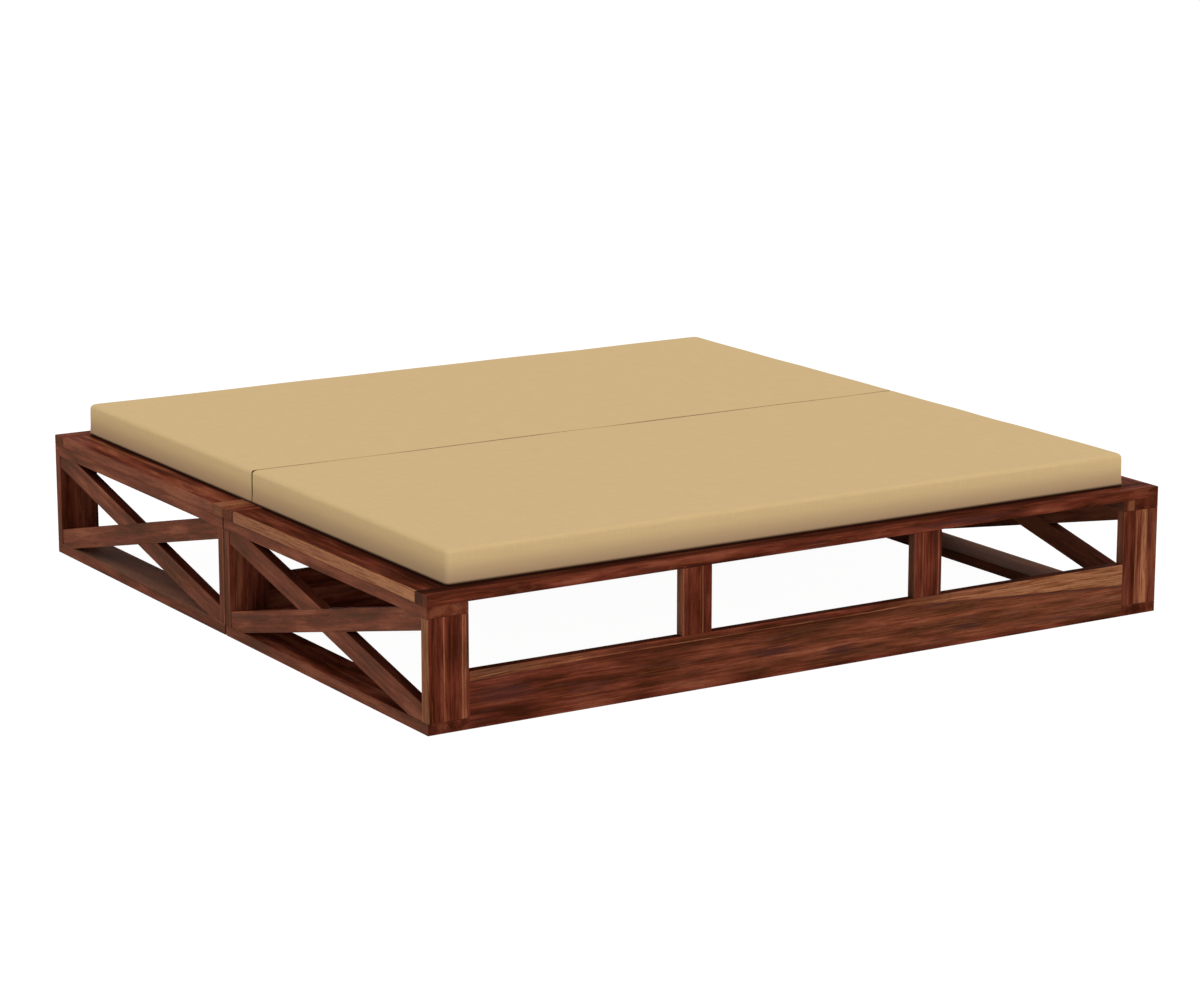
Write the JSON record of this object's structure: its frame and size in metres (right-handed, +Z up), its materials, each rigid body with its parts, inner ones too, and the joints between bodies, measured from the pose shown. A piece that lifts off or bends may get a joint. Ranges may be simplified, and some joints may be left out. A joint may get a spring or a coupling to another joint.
{
  "type": "divan bed",
  "caption": "Low double divan of two wooden modules side by side, with crossed end braces, a slatted deck and a thin loose mattress on each module.",
  "frame": {"origin": "on the floor, under the middle of the whole bed", "axes": "+X to the right along the bed's length, +Y from the front to the back, +Z up"},
  "size_m": [1.981, 1.93, 0.3811],
  "materials": {
    "sheesham": "satin",
    "slat_wood": "matte",
    "dowel_wood": "matte",
    "screw_steel": "satin",
    "cover_cloth": "matte",
    "foam": "matte"
  },
  "bodies": {
    "rear_module": {"rear_bed_left_bottom_plank": "sheesham", "rear_bed_left_top_plank": "sheesham", "rear_bed_left_front_post": "sheesham", "rear_bed_left_back_post": "sheesham", "rear_bed_left_falling_brace": "sheesham", "rear_bed_left_rising_brace": "sheesham", "rear_bed_right_bottom_plank": "sheesham", "rear_bed_right_top_plank": "sheesham", "rear_bed_right_front_post": "sheesham", "rear_bed_right_back_post": "sheesham", "rear_bed_right_falling_brace": "sheesham", "rear_bed_right_rising_brace": "sheesham", "rear_bed_bottom_rail": "sheesham", "rear_bed_left_mid_post": "sheesham", "rear_bed_right_mid_post": "sheesham", "rear_bed_back_apron": "sheesham", "rear_bed_deck_front_rail": "sheesham", "rear_bed_deck_back_rail": "sheesham", "rear_bed_deck_left_rail": "sheesham", "rear_bed_deck_right_rail": "sheesham", "rear_bed_deck_slats": "slat_wood", "rear_bed_corner_screws": "screw_steel", "rear_bed_deck_screws": "screw_steel", "rear_bed_joint_dowels": "dowel_wood", "rear_bed_slat_dowels": "dowel_wood"},
    "front_module": {"front_bed_left_bottom_plank": "sheesham", "front_bed_left_top_plank": "sheesham", "front_bed_left_front_post": "sheesham", "front_bed_left_back_post": "sheesham", "front_bed_left_falling_brace": "sheesham", "front_bed_left_rising_brace": "sheesham", "front_bed_right_bottom_plank": "sheesham", "front_bed_right_top_plank": "sheesham", "front_bed_right_front_post": "sheesham", "front_bed_right_back_post": "sheesham", "front_bed_right_falling_brace": "sheesham", "front_bed_right_rising_brace": "sheesham", "front_bed_bottom_rail": "sheesham", "front_bed_left_mid_post": "sheesham", "front_bed_right_mid_post": "sheesham", "front_bed_back_apron": "sheesham", "front_bed_deck_front_rail": "sheesham", "front_bed_deck_back_rail": "sheesham", "front_bed_deck_left_rail": "sheesham", "front_bed_deck_right_rail": "sheesham", "front_bed_deck_slats": "slat_wood", "front_bed_corner_screws": "screw_steel", "front_bed_deck_screws": "screw_steel", "front_bed_joint_dowels": "dowel_wood", "front_bed_slat_dowels": "dowel_wood"},
    "rear_mattress": {"rear_bed_mattress_cover": "cover_cloth", "rear_bed_mattress_core": "foam"},
    "front_mattress": {"front_bed_mattress_cover": "cover_cloth", "front_bed_mattress_core": "foam"}
  },
  "joints": [
    {"name": "front_module_slide", "type": "slide", "parent": "rear_module", "child": "front_module", "axis": [0, -1, 0], "range_m": [0, 0.6]},
    {"name": "rear_mattress_lift", "type": "slide", "parent": "rear_module", "child": "rear_mattress", "axis": [0, 0, 1], "range_m": [0, 0.3]},
    {"name": "front_mattress_lift", "type": "slide", "parent": "front_module", "child": "front_mattress", "axis": [0, 0, 1], "range_m": [0, 0.3]}
  ]
}
